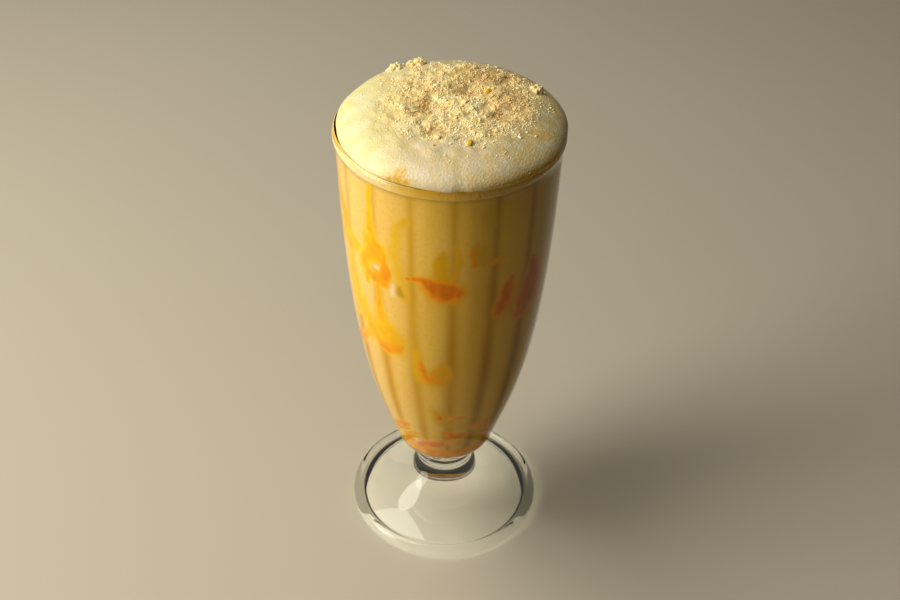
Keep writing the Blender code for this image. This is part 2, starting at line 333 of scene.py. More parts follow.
# Each stroke of puree: how thick and how orange it is, and its way down the wall as points of
# (degrees from the front towards +X, height in mm, half width in mm), as seen through the glass.
STROKES = (
    (1.0, 0.1, ((-80, 150, 6.0), (-72, 153, 5.5), (-64, 150, 4.0), (-57, 149.5, 2.8), (-52.5, 151, 1.2))),
    (1.0, 0.5, ((-66, 152, 1.5), (-63.5, 149, 2.0), (-62, 145, 1.6))),
    (1.0, 0.5, ((-79, 177, 2.0), (-74, 169, 2.7), (-69, 161, 2.7), (-64, 155, 2.2))),
    (0.9, 0.15, ((-41.8, 181, 0.9), (-41.8, 172, 0.9), (-42, 166, 1.2), (-42.5, 161, 1.9),
                 (-42.5, 157, 2.5), (-41, 152, 3.0))),
    (1.0, 0.3, ((-41, 157, 1.4), (-36.5, 155, 2.0), (-36, 151, 2.6))),
    (1.0, 0.2, ((-35, 149.5, 1.8), (-38, 151, 2.2), (-43, 150.5, 2.4), (-47.5, 147, 2.2),
                (-48.5, 142.5, 2.0))),
    (1.0, 0.6, ((-44.5, 140.5, 1.4), (-40.5, 139.6, 2.0), (-36.5, 140.5, 2.5), (-34, 143.8, 2.2),
                (-34, 147, 1.6))),
    (0.9, 0.2, ((-46, 140, 1.6), (-46.5, 136.5, 1.2))),
    (0.9, 0.4, ((-39.5, 141, 1.0), (-39.2, 134, 0.8), (-39, 129, 1.1))),
    (1.0, 0.15, ((-39.5, 127, 1.2), (-38.5, 120, 2.8), (-36.5, 115.0, 4.4), (-34.5, 111.5, 5.4))),
    (1.0, 0.6, ((-39.2, 129, 0.8), (-38.8, 125.5, 1.3), (-38, 121, 1.2))),
    (1.0, 0.6, ((-44.5, 110.0, 1.4), (-40, 107.5, 2.4), (-35, 107.0, 2.8), (-30.5, 108.5, 2.6),
                (-27.5, 110.5, 1.8))),
    (1.1, 0.05, ((-62, 140, 2.0), (-61, 130, 3.4), (-59.5, 124, 3.4), (-55, 118, 3.0), (-49, 113.5, 3.2),
                 (-44.5, 110.5, 2.8))),
    (0.8, 0.1, ((-56, 129, 1.0), (-51.5, 124, 1.2), (-49, 118, 1.5), (-47, 113, 1.8))),
    (1.0, 0.6, ((-56.5, 105.5, 1.3), (-62, 102.5, 2.2), (-68, 99.5, 2.4), (-74, 96.5, 2.4), (-80, 93, 2.6))),
    (1.0, 0.2, ((-50, 111, 2.4), (-56, 106, 1.6))),
    (0.6, 0.05, ((-80, 105.5, 1.0), (-72, 109.5, 0.9), (-64, 114, 1.0), (-56, 117, 1.0))),
    (0.55, 0.1, ((-21, 171, 0.9), (-24.5, 167.5, 1.3), (-27, 162.5, 1.5), (-28, 157.5, 1.6),
                 (-27, 151.5, 1.7), (-25, 145, 1.7), (-23.5, 140.5, 1.7), (-22.8, 136.5, 1.8))),
    (1.0, 0.95, ((-20.3, 145.2, 0.8), (-16, 146, 0.9), (-12, 146, 1.5), (-8, 144, 3.1), (-3.5, 142.5, 4.2),
                 (1, 141.5, 4.0), (5, 141, 2.8), (7.8, 141, 1.4))),
    (0.75, 0.15, ((-3.5, 148, 2.6), (-3.5, 153, 1.9), (-2.2, 157, 1.4), (-1.4, 160, 0.7))),
    (0.45, 0.5, ((0, 146, 1.4), (3.5, 150, 1.6), (5.5, 155, 1.3), (5, 162, 0.8))),
    (0.7, 0.7, ((13.3, 153.5, 1.0), (13.2, 157.5, 1.4), (14.5, 160.8, 1.2))),
    (0.5, 0.1, ((15, 161, 1.2), (18, 160, 1.5), (19.5, 157, 1.5), (17.5, 154.5, 1.5), (15.5, 158, 1.4))),
    (0.7, 0.7, ((21, 154, 0.8), (24, 153.6, 1.3), (27.5, 153.8, 1.1))),
    (1.0, 1.0, ((34.5, 143, 1.2), (33.5, 139, 2.0), (32, 134.5, 2.6), (30.5, 130.5, 2.8), (28.5, 128, 1.6))),
    (0.7, 0.5, ((35.5, 141.5, 1.0), (36, 134, 1.4), (34, 130, 1.6))),
    (1.1, 1.0, ((50, 147, 1.4), (51.5, 141, 3.0), (51, 135, 5.0), (49.5, 129, 5.4), (46, 124, 3.4))),
    (0.9, 0.75, ((58, 141, 1.6), (56, 136, 4.0), (54, 130, 4.8), (50, 124, 3.0))),
    (0.8, 0.6, ((62, 142, 1.0), (61, 136, 2.0), (60, 129, 2.0))),
    (0.7, 0.3, ((-17, 110, 1.0), (-17.2, 104, 1.6), (-16.5, 99, 2.2), (-14.5, 95.5, 2.2))),
    (0.8, 0.35, ((-15, 96.5, 1.8), (-10, 95.0, 2.4), (-5, 96, 2.8), (-1.5, 98.5, 2.4), (-0.5, 102.5, 1.8))),
    (0.6, 0.25, ((-8, 99, 1.8), (-4, 100.5, 2.2), (-1, 104, 1.4))),
    (1.0, 0.75, ((-15.8, 105, 1.0), (-15, 101, 1.4), (-13, 97.5, 1.4), (-10, 95.8, 1.3), (-6.5, 97, 1.0))),
    (0.8, 0.8, ((-9, 99, 0.6), (-5.5, 100.8, 0.7), (-2.5, 103.6, 0.5))),
    (1.0, 0.85, ((-4.8, 72.8, 1.5), (-4.2, 72.2, 1.5))),
    (0.6, 0.15, ((-10, 76, 1.5), (-5, 73.5, 3.0), (-2, 69, 2.2))),
    (0.8, 0.75, ((3, 71.5, 0.8), (8, 71.3, 1.0), (13, 72, 0.8))),
    (0.5, 0.3, ((5, 67, 2.0), (13, 66, 2.0))),
    (1.0, 0.75, ((-36.5, 61.5, 1.6), (-40, 59.5, 2.2), (-46, 57, 2.0), (-55, 54.5, 2.0), (-65, 51, 1.8),
                 (-80, 45.5, 1.8))),
    (0.8, 0.5, ((-42, 56, 1.5), (-35, 54.5, 1.5), (-30, 55.5, 1.4), (-26, 57.2, 0.8))),
    (1.0, 0.85, ((-27.5, 48.5, 1.2), (-21, 50, 1.7), (-15, 50.5, 2.4), (-9, 51.5, 2.6), (-4, 52.5, 1.6))),
    (1.0, 0.8, ((1, 61, 1.2), (6, 59, 1.8), (11, 58.5, 1.8), (16, 58.8, 1.4))),
    (0.7, 0.5, ((5, 54, 2.0), (12, 53, 2.0))),
    (0.8, 0.6, ((25, 63.5, 1.4), (29, 62, 1.8), (31, 65.5, 1.8))),
    (0.9, 0.75, ((36, 64, 1.4), (39, 60, 1.8), (41, 56, 1.8))),
    (0.9, 0.75, ((-17, 45, 2.0), (-8, 44.5, 2.5), (0, 45, 2.0))),
    (0.7, 0.7, ((-40, 50, 1.6), (-30, 47, 2.0), (-20, 45.5, 2.0))),
    (0.65, 0.85, ((-50, 45, 2.4), (-20, 44, 3.0), (10, 44, 3.0), (40, 45, 2.4))),
)
# Air caught between the drink and the wall is painted pale as a reflection, with painted olive shade on its
# side away from the light.
AIR = (
    ((-30.2, 140.2, 0.9), (-30.0, 135.8, 1.1)),
    ((-59.0, 129.5, 0.7), (-58.0, 127.0, 0.8)),
    ((-40.6, 145.8, 1.1), (-38.6, 144.8, 1.0)),
)
OLIVE_SHADE = (((-26.0, 140.0, 0.8), (-25.0, 137.0, 1.3)),)
WALL_SPREAD = 1.056  # a mark on the drink shows nearer to the middle through the wall,
WALL_DROP = 1.4 * MM  # and a little higher
# The strokes lie on the front. Some of them stand for those behind, as (which strokes, how many
# degrees they are turned, how many mm they are let down).
BEHIND = ((range(8, 17), 152.0, 14.0), (range(17, 24), 196.0, 6.0), (range(29, 34), 168.0, 40.0),
          (range(0, 9), 232.0, -6.0), (range(38, 47), 180.0, 0.0), (range(24, 29), -152.0, 8.0),
          (range(38, 41), 120.0, 2.0))
STROKE_REACH = 1.85  # how many half widths from its middle a stroke's puree ends
STROKE_FULL = 1.3  # how thick a stroke can get
STROKE_COVERS = 4.0  # how strongly the thicker of two strokes gives its colour
WANDER = 0.9 * MM  # how far a stroke's edges wander
WANDER_SIZES = 6.5 * MM, 2.3 * MM
# Along each rib the drink is painted darker as shade, most on the rib's side away from the light.
RIB_SHADE_LEAN = math.radians(2.0)  # the darkest line of a groove lies on its side away from the light
RIB_SHADE_HALF, RIB_SHADE_WIDENS = 2.3, 2.1  # its half width at the top in degrees, and how much it gains
RIB_SHADE_FAINT = 0.25  # how much fainter it is at the top
LOW_FROM, LOW_OVER = 165.0 * MM, 75.0 * MM  # the height where that change starts, and over how much
# The thin darker line under the rim's bead is painted shade.
BRIM_DOWN, BRIM_HALF = 0.3 * MM, 0.45 * MM  # the darker line along the drink's top edge

angle = np.arctan2(points[:, 0], -points[:, 1])
around, height = bowl_radius(points[:, 2]) - WALL, points[:, 2]


def swirl(offset):
    """Soft noise about 0 for each point of the drink, in two sizes."""
    shift = Vector((offset, 0.0, 0.0))
    large, small = WANDER_SIZES
    return np.array([
        noise.noise(Vector(p) / large + shift) + 0.55 * noise.noise(Vector(p) / small + shift)
        for p in points
    ])


u = np.degrees(angle) + np.degrees(WANDER * swirl(3.0) / around)
v = height + WANDER * swirl(11.0)


def nearness(way):
    """How far each point of the drink is from a stroke, in half widths of it."""
    near = np.full(len(points), 9.0)
    for (a0, z0, h0), (a1, z1, h1) in zip(way, way[1:]):
        middle = np.radians(0.5 * (a0 + a1) * WALL_SPREAD)
        du = (u - np.degrees(middle) + 180.0) % 360.0 - 180.0
        px = np.radians(du) * around
        half_run = 0.5 * np.radians((a1 - a0) * WALL_SPREAD) * around
        rise_v = (z1 - z0) * MM
        py = v - (0.5 * (z0 + z1) * MM - WALL_DROP)
        length2 = (2.0 * half_run) ** 2 + rise_v**2 + 1e-12
        t = np.clip(0.5 + (px * 2.0 * half_run + py * rise_v) / length2, 0.0, 1.0)
        gap = np.hypot(px - (2.0 * t - 1.0) * half_run, py - (t - 0.5) * rise_v)
        near = np.minimum(near, gap / ((h0 + (h1 - h0) * t) * MM))
    return near


def strokes_with_copies():
    """All the strokes as (thickness, orange, points), those behind included."""
    yield from STROKES
    for chosen, turn, drop in BEHIND:
        for i in chosen:
            thick, orange, way = STROKES[i]
            yield thick, orange, [(a + turn, z - drop, half) for a, z, half in way]


cover = np.full(len(points), -1.0)
orange_sum, weight_sum = np.zeros(len(points)), np.full(len(points), 1e-6)
for thick, orange, way in strokes_with_copies():
    blot = thick * np.clip(STROKE_REACH - nearness(way), -1.0, STROKE_FULL)
    cover = np.maximum(cover, blot)
    weight = np.exp(STROKE_COVERS * blot)
    orange_sum += weight * orange
    weight_sum += weight
paint(drink, "puree", cover)
paint(drink, "orange", orange_sum / weight_sum)
paint(drink, "air_reflection", ease(1.5 - np.min([nearness(way) for way in AIR], axis=0)))
paint(drink, "olive_shade", ease((1.9 - np.min([nearness(way) for way in OLIVE_SHADE], axis=0)) / 1.5))
half_flute = 180.0 / FLUTES
from_rib = np.degrees(angle - RIB_ANGLE - RIB_SHADE_LEAN)
from_rib = np.abs((from_rib + half_flute) % (2.0 * half_flute) - half_flute)
low = ease((LOW_FROM - height) / LOW_OVER)
rib_shade = np.exp(-((from_rib / (RIB_SHADE_HALF + RIB_SHADE_WIDENS * low)) ** 2))
rib_shade *= 1.0 - RIB_SHADE_FAINT + RIB_SHADE_FAINT * low
paint(drink, "rib_shade", rib_shade * ease((DRINK_TOP_Z + 0.6 * MM - height) / (1.5 * MM)))
# The side runs from -1 at the left to 1 at the right; by it the drink is painted paler on the lit left and
# deeper on the shaded right.
paint(drink, "side", np.sin(angle))
paint(drink, "brim_shade", np.exp(-(((DRINK_TOP_Z - BRIM_DOWN - height) / BRIM_HALF) ** 2)))

shake = Finish("mango milkshake", Roughness=0.45, Specular_IOR_Level=0.0)
cloud = shake.grain(18.0 * MM, 3.0, (1.0, 1.0, 0.5))
fleck = shake.grain(1.1 * MM, 3.0)
milk = shake.mix(cloud.between(0.3, 0.7), (240, 194, 74), (244, 203, 94))
# Paler milk on the left is painted light, and deeper, darker milk on the right is painted shade.
milk = shake.mix(shake.layer("side").between(-0.15, -0.95) * 0.9, milk, (247, 209, 128))
milk = shake.mix(shake.layer("side").between(0.0, 0.9) * 0.85, milk, (234, 182, 26))
milk = shake.mix(fleck.between(0.45, 0.75) * 0.35, milk, (224, 176, 44))
faint = shake.grain(13.0 * MM, 2.0, (1.0, 1.0, 0.35)).between(0.2, 0.6)
# The painted shade along the ribs is darker on the right, away from the light.
rib_shade_tint = shake.mix(shake.layer("side").between(-0.3, 0.4), (208, 154, 0), (180, 128, 0))
milk = shake.mix(shake.layer("rib_shade") * (faint * 0.35 + 0.65), milk, rib_shade_tint)
milk = shake.mix(shake.layer("brim_shade") * 0.6, milk, (170, 112, 4))
milk = shake.mix(shake.layer("air_reflection") * 0.7, milk, (250, 232, 190))
torn = shake.grain(3.2 * MM, 5.0, (1.0, 1.0, 0.6)) + shake.grain(0.9 * MM, 2.0) * 0.45 - 0.70
frayed = shake.layer("puree") + torn
clotted = shake.grain(2.4 * MM, 4.0, (1.0, 1.0, 0.5)) - 0.5
ripe = shake.layer("orange") + (frayed - 1.05) * 0.6 + clotted * 0.9
yellow = shake.mix(shake.grain(4.0 * MM, 3.0).between(0.35, 0.65), (250, 209, 2), (248, 195, 0))
# The puree is painted darker yellow away from the lit left and lighter orange at the far left, as light and
# shade.
yellow = shake.mix(shake.layer("side").between(-0.8, -0.1), yellow, (228, 176, 0))
amber = shake.mix(shake.layer("side").between(-0.55, -0.95), (247, 162, 0), (247, 178, 0))
puree = shake.mix(ripe.between(0.15, 0.65), yellow, amber)
puree = shake.mix(ripe.between(0.7, 1.2), puree, (226, 122, 0))
thin = (frayed / 0.95).between(0.0, 1.0)
shade = shake.mix(thin, milk, puree)
shake.feed(Base_Color=shake.mix(shake.layer("olive_shade") * 0.55, shade, (168, 124, 0)))
shake.wear(drink)
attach(drink, "root")
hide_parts("milkshake")


# The froth: whipped milk froth that stands over the rim in a dome and laps over it at the right
# front. Its flanks are smooth and wet, with fine bubbles; its middle is sunk in dips and lumpy
# under the crumbs.

FROTH_R, FROTH_H = 40.2 * MM, 7.7 * MM  # how far it reaches out, and how high it stands over its belly
BELLY_Z = 185.8 * MM  # where it is widest
DOME_POWER = 3.0  # how flat its top is
TILT = 0.9 * MM  # how much higher it stands at the back
LEAN, LAP_ANGLE = 1.0 * MM, math.radians(60.0)  # how far and which way it leans over the rim
LAP_START, LAP_END = math.radians(100.0), math.radians(35.0)  # where on the rim its edge ends
LAP_DROP = 1.0 * MM  # how much lower its belly hangs there
WAVES = (0.20 * MM, 7, 1.0), (0.12 * MM, 11, 2.3)  # its edge's waves: depth, how many, phase
PLATEAU_R, RELIEF_END_R = 25.0 * MM, 34.0 * MM  # where its relief starts to fade, and where it ends
LUMP, LUMP_SIZE = 0.8 * MM, 9.0 * MM  # the height and size of its soft lumps
SMOOTH = 0.10, 5.0 * MM  # fine relief as (height in mm, size), all over
GRAINY = (0.50, 3.2 * MM), (0.30, 1.3 * MM)  # and under the crumbs
FLAT_SHARE, FLAT_RINGS, FLANK_RINGS = 0.72, 72, 44  # the rings of its mesh, even up to this share
PLUG_R, PLUG_TOP, PLUG_Z = 30.0 * MM, (181.0 * MM, 180.0 * MM), 179.6 * MM  # what fills the rim
HOLLOWS = (  # centre, size and depth
    ((-7.8 * MM, -1.8 * MM), 4.2 * MM, 2.1 * MM),
    ((5.4 * MM, 10.2 * MM), 4.8 * MM, 2.1 * MM),
    ((18.0 * MM, -5.2 * MM), 4.6 * MM, 1.2 * MM),
    ((-6.0 * MM, -15.8 * MM), 3.8 * MM, 1.4 * MM),
    ((22.0 * MM, 9.0 * MM), 4.0 * MM, 1.0 * MM),
)
PATCH = (3.5 * MM, 3.5 * MM), (24.5 * MM, 23.5 * MM)  # the strewn area's centre and half widths
NOTCH = math.radians(6.0), math.radians(3.0), 0.35 * MM  # where its edge draws back: place, width, depth
ON_GLASS = -0.06 * MM  # how far the froth's underside stands off the rim
EDGE_FADE = 12.0  # how fast the relief ends at the edge
RAGGED = (0.38, 7.0 * MM), (0.24, 2.5 * MM)  # how far the strewn area's edge wanders, and its sizes
STREWN_END, STREWN_FADE = 1.34, 0.50  # where that area ends, and over how much, in half widths


def edge_radius(turn):
    """How far the froth reaches out over the rim in one direction."""
    wave = sum(high * math.sin(count * turn + phase) for high, count, phase in WAVES)
    notch = NOTCH[2] * math.exp(-(((turn - NOTCH[0]) / NOTCH[1]) ** 2))
    return FROTH_R + LEAN * math.cos(turn - LAP_ANGLE) + wave - notch


def strewn(x, y):
    """How much a place lies in the strewn area, from 0 to 1."""
    (cx, cy), (half_x, half_y) = PATCH
    reach = math.hypot((x - cx) / half_x, (y - cy) / half_y)
    ragged = sum(far * noise.noise(Vector((x, y, 0.0)) / size) for far, size in RAGGED)
    return float(ease((STREWN_END - reach + ragged) / STREWN_FADE))


def relief(x, y):
    """The lumps and hollows of the dome's middle, as a height."""
    place = Vector((x, y, 0.0)) / LUMP_SIZE
    height = LUMP * noise.noise(place) + 0.5 * LUMP * noise.noise(place * 2.3 + Vector((5.0, 0.0, 0.0)))
    for (cx, cy), size, depth in HOLLOWS:
        height -= depth * math.exp(-((x - cx) ** 2 + (y - cy) ** 2) / size**2)
    height *= ease((RELIEF_END_R - math.hypot(x, y)) / (RELIEF_END_R - PLATEAU_R))
    fine = Vector((x, y, 2.0 * MM))
    grainy = sum(high * noise.noise(fine / size) for high, size in GRAINY)
    smooth = SMOOTH[0] * noise.noise(fine / SMOOTH[1])
    return height + MM * (smooth + grainy * strewn(x, y))


def rise(share):
    """How high the dome stands at a share of its reach, from 1 in the middle to 0 at its edge."""
    return math.sqrt(1.0 - min(share, 1.0) ** DOME_POWER)


def on_dome(share, turn):
    """The point of the dome at a share of its reach in one direction."""
    radius = share * edge_radius(turn)
    x, y = radius * math.sin(turn), -radius * math.cos(turn)
    lap = 0.5 + 0.5 * math.cos(turn - LAP_ANGLE)
    z = BELLY_Z + rise(share) * (FROTH_H + TILT * y / FROTH_R)
    shaped = relief(x, y) * min(1.0, EDGE_FADE * (1.0 - share))
    return x, y, z - LAP_DROP * lap * (1.0 - rise(share)) + shaped


def surface_z(x, y):
    """The froth's height at a place on the dome."""
    turn = math.atan2(x, -y)
    return on_dome(math.hypot(x, y) / edge_radius(turn), turn)[2]


def on_rim(turn):
    """The point of the froth's underside on the rolled rim, as radius and height."""
    across, up = RIM_HALF[0] + ON_GLASS, RIM_HALF[1] + ON_GLASS
    return RIM_R + across * math.cos(turn), RIM_Z + up * math.sin(turn)


shares = [FLAT_SHARE * i / FLAT_RINGS for i in range(FLAT_RINGS + 1)]
start = math.acos(shares[-1] ** (0.5 * DOME_POWER))
for i in range(1, FLANK_RINGS + 1):
    shares.append(math.cos(start * (1.0 - i / FLANK_RINGS)) ** (2.0 / DOME_POWER))
dome = [(FROTH_R * share, BELLY_Z + FROTH_H * rise(share)) for share in shares]
under = [on_rim(LAP_START + (math.pi - LAP_START) * i / 12) for i in range(13)]
plug = [(BOWL_TOP[0] - WALL + INTO_WALL, z) for z in PLUG_TOP] + [(PLUG_R, PLUG_Z), (0.0, PLUG_Z)]
froth = turned("froth_dome", dome + under + plug, 384)
points = places(froth)
for i, (x, y, z) in enumerate(points):
    turn, radius = math.atan2(x, -y), math.hypot(x, y)
    if z > BELLY_Z - HAIR:
        points[i] = on_dome(radius / FROTH_R, turn)
    elif z > RIM_Z + 0.05 * MM:
        across = min(max((radius - RIM_R) / (RIM_HALF[0] + ON_GLASS), -1.0), 1.0)
        share = (math.pi - math.acos(across)) / (math.pi - LAP_START)
        lap = 0.5 + 0.5 * math.cos(turn - LAP_ANGLE)
        end = LAP_START + (LAP_END - LAP_START) * lap
        radius, height = on_rim(math.pi - (math.pi - end) * share)
        points[i] = radius * math.sin(turn), -radius * math.cos(turn), height
put(froth, points)


def hollow_shade(x, y):
    """How deep in a hollow a place lies, from 0 to 1, for the shade painted there."""
    return sum(math.exp(-((x - cx) ** 2 + (y - cy) ** 2) / size**2) for (cx, cy), size, _ in HOLLOWS)


# Mango syrup on the froth lies by the rim at the left front, as (place, reach) in mm, and along the
# rim at the right front.
SYRUP = (
    ((-16.2, -34.7, 188.0), 1.7), ((-15.2, -34.0, 188.7), 1.1), ((-17.3, -36.4, 186.2), 1.9),
    ((-14.0, -37.2, 186.2), 0.9), ((-19.5, -35.0, 186.2), 1.0),
)
SYRUP_TOP_Z, SYRUP_FADE = 187.6 * MM, 2.6 * MM
SYRUP_TURN, SYRUP_HALF = 48.0, 24.0  # degrees


def spot(cx, cy, half_x, half_y):
    """1 at a place given in mm, falling off round it."""
    return np.exp(-(((x_mm - cx) / half_x) ** 2) - ((y_mm - cy) / half_y) ** 2)


x_mm, y_mm, height = points[:, 0] / MM, points[:, 1] / MM, points[:, 2]
degrees = np.degrees(np.arctan2(x_mm, -y_mm))
across = np.hypot(points[:, 0], points[:, 1])
syrup = ease((SYRUP_TOP_Z - height) / SYRUP_FADE) * np.exp(-(((degrees - SYRUP_TURN) / SYRUP_HALF) ** 2))
for place, reach in SYRUP:
    gap = np.linalg.norm(points - np.array(place) * MM, axis=1) / (reach * MM)
    syrup = np.maximum(syrup, 1.2 * np.exp(-gap**2))
paint(froth, "syrup", syrup)
paint(froth, "hollow_shade", [hollow_shade(x, y) for x, y, _ in points])
paint(froth, "strewn", [strewn(x, y) for x, y, _ in points])
# The froth is painted lighter and yellower on its lit left, and darker on its shaded right, as light and
# shade.
paint(froth, "lit_left", ease((-8.0 - x_mm) / 24.0))
paint(froth, "shaded_right", ease((x_mm - 6.0) / 18.0))
paint(froth, "warm", spot(-20.0, -2.0, 6.5, 22.0))
# The top is painted darker at the back right.
paint(froth, "darker_back_right", spot(13.0, 20.0, 11.0, 9.0))
# Under the rim's glass the froth turns to drink, painted lighter at the left as light; along the rim a dark
# line of painted shadow lies where froth and glass meet.
rim_touch = np.hypot((across - RIM_R) / RIM_HALF[0], (height - RIM_Z) / RIM_HALF[1])
paint(froth, "drink", ease((185.6 * MM - height) / (0.5 * MM)) * (across < 40.8 * MM))
paint(froth, "contact_shadow", ease((1.30 - rim_touch) / 0.25) * ease((height - RIM_Z - 0.2 * MM) / (0.5 * MM)))

foam = Finish(
    "milk froth",
    Specular_IOR_Level=0.5,
    Subsurface_Weight=0.25,
    Subsurface_Radius=(1.0, 0.85, 0.6),
    Subsurface_Scale=1.2 * MM,
    Coat_Weight=0.25,
    Coat_Roughness=0.15,
)
patchy, streaky = foam.grain(7.0 * MM, 4.0), foam.grain(4.0 * MM, 4.0, (1.0, 1.0, 0.6))
cream = foam.mix(patchy.between(0.3, 0.7), (232, 214, 180), (228, 202, 142))
lit_left = foam.mix(patchy.between(0.35, 0.65), (255, 248, 200), (255, 238, 156))
# The froth's right, its crumb area included, is painted darker as shade.
shaded_right = foam.mix(patchy.between(0.38, 0.62), (208, 194, 150), (210, 176, 104))
cream = foam.mix(foam.layer("shaded_right"), cream, shaded_right)
cream = foam.mix(foam.layer("lit_left"), cream, lit_left)
cream = foam.mix(foam.layer("warm") * 0.8, cream, (252, 224, 134))
cream = foam.mix(foam.grain(2.6 * MM, 4.0).between(0.5, 0.8) * 0.5, cream, (255, 248, 212))
cream = foam.mix(streaky.between(0.5, 0.75) * 0.4, cream, (246, 216, 118))
cream = foam.mix(foam.grain(5.0 * MM, 4.0).between(0.52, 0.78) * 0.35, cream, (238, 202, 140))
biscuit = foam.mix(foam.grain(2.2 * MM, 4.0).between(0.35, 0.65), (255, 230, 152), (246, 210, 134))
biscuit = foam.mix(foam.layer("shaded_right") * 0.8, biscuit, (216, 182, 122))
cream = foam.mix(foam.layer("strewn") * 0.8, cream, biscuit)
cream = foam.mix(foam.layer("darker_back_right") * 0.75, cream, (196, 156, 92))
# The hollows are painted darker as shade.
cream = foam.mix(foam.layer("hollow_shade").between(0.2, 1.0) * 0.75, cream, (178, 154, 104))
# Whitish specks are fine bubbles, their brightness partly painted glints.
glint_specks = foam.add("TexVoronoi", {"Vector": foam.place(), "Scale": 1.0 / (0.9 * MM)})
cream = foam.mix(glint_specks.between(0.30, 0.16) * patchy.between(0.45, 0.6) * 0.4, cream, (255, 250, 226))
curls = foam.grain(1.6 * MM, 3.0)
cream = foam.mix(foam.layer("syrup") * 1.3 * curls.between(0.25, 0.5), cream, (244, 194, 40))
curl_edge = curls.between(0.44, 0.5) * (1.0 - curls.between(0.52, 0.58))
cream = foam.mix(foam.layer("syrup") * curl_edge * 0.7, cream, (196, 140, 10))
seen_milk = foam.mix(foam.layer("lit_left"), (250, 196, 44), (255, 236, 172))
cream = foam.mix(foam.layer("drink"), cream, seen_milk)
foam.feed(
    Base_Color=foam.mix(foam.layer("contact_shadow") * 0.85, cream, (126, 84, 8)),
    Roughness=foam.grain(1.5 * MM) * 0.3 + 0.25,
)
cells = foam.add("TexVoronoi", {"Vector": foam.place(), "Scale": 1.0 / (0.8 * MM)})
foam.feed(Normal=foam.bump(foam.grain(0.6 * MM, 3.0), 0.09 * MM, foam.bump(cells, 0.10 * MM)))
foam.wear(froth)
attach(froth, "root")
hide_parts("froth")


# The crumbs: dry biscuit, crushed and strewn over the middle of the froth, from dust to lumps of
# 3 mm. They lie where they fell, thickest in the middle, with a few small heaps at the back edge.

LUMPS, LUMP_R, LUMP_SHIFT = 40, 0.9 * MM, 3.0 * MM  # how many, their radius, and how far each strays
LUMP_LIFT = -0.6  # how far a lump's middle stands over the froth, as a share of its radius
SOWN = (2.5 * MM, 0.5 * MM), (24.0 * MM, 25.5 * MM)  # the lumps' area: its centre and half widths
HEAPS = (  # centre, how many lumps, and their radius
    ((-20.0 * MM, 28.5 * MM), 11, 1.1 * MM),
    ((-12.3 * MM, 31.5 * MM), 15, 1.2 * MM),
    ((31.0 * MM, 14.5 * MM), 8, 1.15 * MM),
)
HEAP_SPREAD = 0.8  # how far apart a heap's lumps lie, as a share of their radius
HEAP_LIFT, HEAP_FALL = 0.8, 0.12  # how high its first lump stands, and how much lower each next one
HEAP_TONE = 0.15, 0.5  # the least tone of its lumps, and how much chance adds
# How dark the crumbs are in some places, as (centre, reach, tone from 0, cream, to 1, brown).
TONES = (
    ((1.0, -7.0), 5.5, 0.22), ((5.0, -20.0), 6.0, 0.06), ((-4.0, 17.0), 7.0, 0.40),
    ((13.0, 19.0), 10.0, 1.0), ((-17.0, 5.0), 6.0, 0.45), ((16.0, -16.0), 7.0, 0.35),
    ((-21.0, -5.0), 7.0, 0.50), ((24.0, 0.0), 7.0, 0.62), ((-12.0, 26.0), 5.0, 0.50),
    ((12.0, 11.0), 4.0, 0.20), ((7.0, -9.0), 5.0, 0.10), ((28.0, 4.0), 8.0, 0.90),
)
# In the hollows the crumbs are painted browner, as shade.
TONE, TONE_SWAY, TONE_IN_DIP, TONE_CHANCE = 0.30, 0.5, 0.55, 0.16  # the tone elsewhere, and what moves it
TONE_PULL = 0.8  # how far such a place draws the tone to its own
ROUGH = 0.65 * MM  # how rough the lumps are
CRUMB_SHAPES = 12  # how many shapes the small crumbs have among them
CRUMBS_END_R = 36.0 * MM  # no crumb lies further out
CLUSTER, CLUSTER_SIZE = 1.2, 3.5 * MM  # how much the crumbs gather, and in what sizes
CRUMB_SUNK = 0.75  # how deep a crumb can lie in the froth, as a share of its radius
COARSE = 9300, 0.15 * MM, 0.52 * MM  # how many, and their least and greatest radius
FINE = 9500, 0.10 * MM, 0.20 * MM
FINE_SPREAD = 0.003  # the share of them that lies outside the strewn area
GOLDEN_ANGLE = math.pi * (3.0 - math.sqrt(5.0))  # the turn that spreads places evenly in a spiral


def taken(piece):
    """The points and faces of a small modelled piece, which is then removed."""
    mesh = piece.data
    shape = [v.co.copy() for v in mesh.vertices], [tuple(f.vertices) for f in mesh.polygons]
    bpy.data.objects.remove(piece)
    bpy.data.meshes.remove(mesh)
    return shape


def ball(subdivisions):
    """An even ball of radius 1."""
    bpy.ops.object.select_all(action="DESELECT")
    bpy.ops.mesh.primitive_ico_sphere_add(subdivisions=subdivisions, radius=1.0)
    return taken(bpy.context.active_object)


def grain_shape(draw):
    """A crumb's shape, about 2 across: a ball with its points pushed in and out."""
    corners, sides = ball_shape
    return [corner * draw.uniform(0.7, 1.2) for corner in corners], sides


def joined(name, bodies):
    """One piece of many small bodies, each given as (points, faces, tone)."""
    points, faces, tones = [], [], []
    for body, sides, tone in bodies:
        first = len(points)
        points += body
        faces += [[first + i for i in side] for side in sides]
        tones += [tone] * len(body)
    mesh = bpy.data.meshes.new(name)
    mesh.from_pydata(points, [], faces)
    piece = bpy.data.objects.new(name, mesh)
    bpy.context.scene.collection.objects.link(piece)
    paint(piece, "tone", tones)
    return piece


